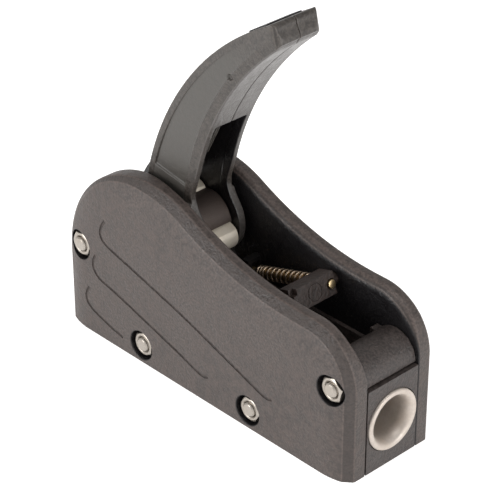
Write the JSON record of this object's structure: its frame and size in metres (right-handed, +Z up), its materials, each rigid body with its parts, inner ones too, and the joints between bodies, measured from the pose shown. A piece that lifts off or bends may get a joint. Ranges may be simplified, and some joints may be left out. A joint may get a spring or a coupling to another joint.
{
  "type": "rope clutch",
  "caption": "Lever-operated rope clutch (cam cleat): two side covers round a rope channel, a curved handle, a toothed cam and its return spring.",
  "frame": {"origin": "centre of the base's underside, on the deck, below the middle of the body", "axes": "+X towards the rope entry under the handle tip, +Y towards the bolt-head side, +Z up from the deck"},
  "size_m": [0.134, 0.04, 0.1366],
  "materials": {
    "cover_nylon": "fine-grained warm dark grey glass-filled nylon",
    "core_nylon": "fine-grained warm dark grey glass-filled nylon",
    "handle_nylon": "satin dark grey nylon with a grained rim and smooth side panels",
    "black_nylon": "satin black nylon",
    "block_nylon": "matt dark brown-grey nylon",
    "jaw_steel": "milled stainless steel",
    "bush_steel": "satin turned stainless steel",
    "fastener_steel": "bright stainless steel",
    "pin_steel": "ground stainless steel",
    "hub_metal": "dark hard-anodised aluminium",
    "cam_metal": "hard-anodised aluminium",
    "rod_brass": "dull brass",
    "spring_steel": "bronze-tinted spring wire"
  },
  "bodies": {
    "housing": {"cover_near": "cover_nylon", "cover_far": "cover_nylon", "base_channel": "core_nylon", "base_jaw": "jaw_steel", "front_bridge": "core_nylon", "rear_bridge": "core_nylon", "front_bush": "bush_steel", "rear_bush": "bush_steel", "cross_bolt_1": "fastener_steel", "nut_1": "fastener_steel", "cross_bolt_2": "fastener_steel", "nut_2": "fastener_steel", "cross_bolt_3": "fastener_steel", "nut_3": "fastener_steel", "cross_bolt_4": "fastener_steel", "nut_4": "fastener_steel", "pivot_shaft": "pin_steel", "thrust_washer_near": "black_nylon", "thrust_washer_far": "black_nylon"},
    "handle": {"handle_half_near": "handle_nylon", "handle_half_far": "handle_nylon", "grip_inlay": "black_nylon", "pivot_hub": "hub_metal", "crank_pin": "pin_steel", "tie_pin": "pin_steel"},
    "jaw_cam": {"cam": "cam_metal"},
    "spring_carrier": {"spring_block": "block_nylon", "guide_rod": "rod_brass", "rod_clip": "fastener_steel", "return_spring": "spring_steel"},
    "spring_follower": {"spring_seat": "spring_steel"}
  },
  "joints": [
    {"name": "handle_turn", "type": "hinge", "parent": "housing", "child": "handle", "pos_m": [-0.0213, 0, 0.049], "axis": [0, 1, 0], "range_deg": [0, 60]},
    {"name": "cam_swing", "type": "hinge", "parent": "handle", "child": "jaw_cam", "pos_m": [-0.0131, 0, 0.0457], "axis": [0, 1, 0], "range_deg": [-41, 0]},
    {"name": "block_tilt", "type": "hinge", "parent": "housing", "child": "spring_carrier", "pos_m": [0.0294, 0, 0.0455], "axis": [0, 1, 0], "range_deg": [-10, 0]},
    {"name": "seat_slide", "type": "slide", "parent": "spring_carrier", "child": "spring_follower", "axis": [-0.9537, 0, -0.3007], "range_m": [0, 0.0135], "deforming": ["return_spring"]}
  ],
  "couplings": [
    {"joint": "cam_swing", "follows": "handle_turn", "ratio": -0.66667},
    {"joint": "block_tilt", "follows": "handle_turn", "ratio": -0.15833},
    {"joint": "seat_slide", "follows": "handle_turn", "m_per_rad": 0.012032}
  ]
}
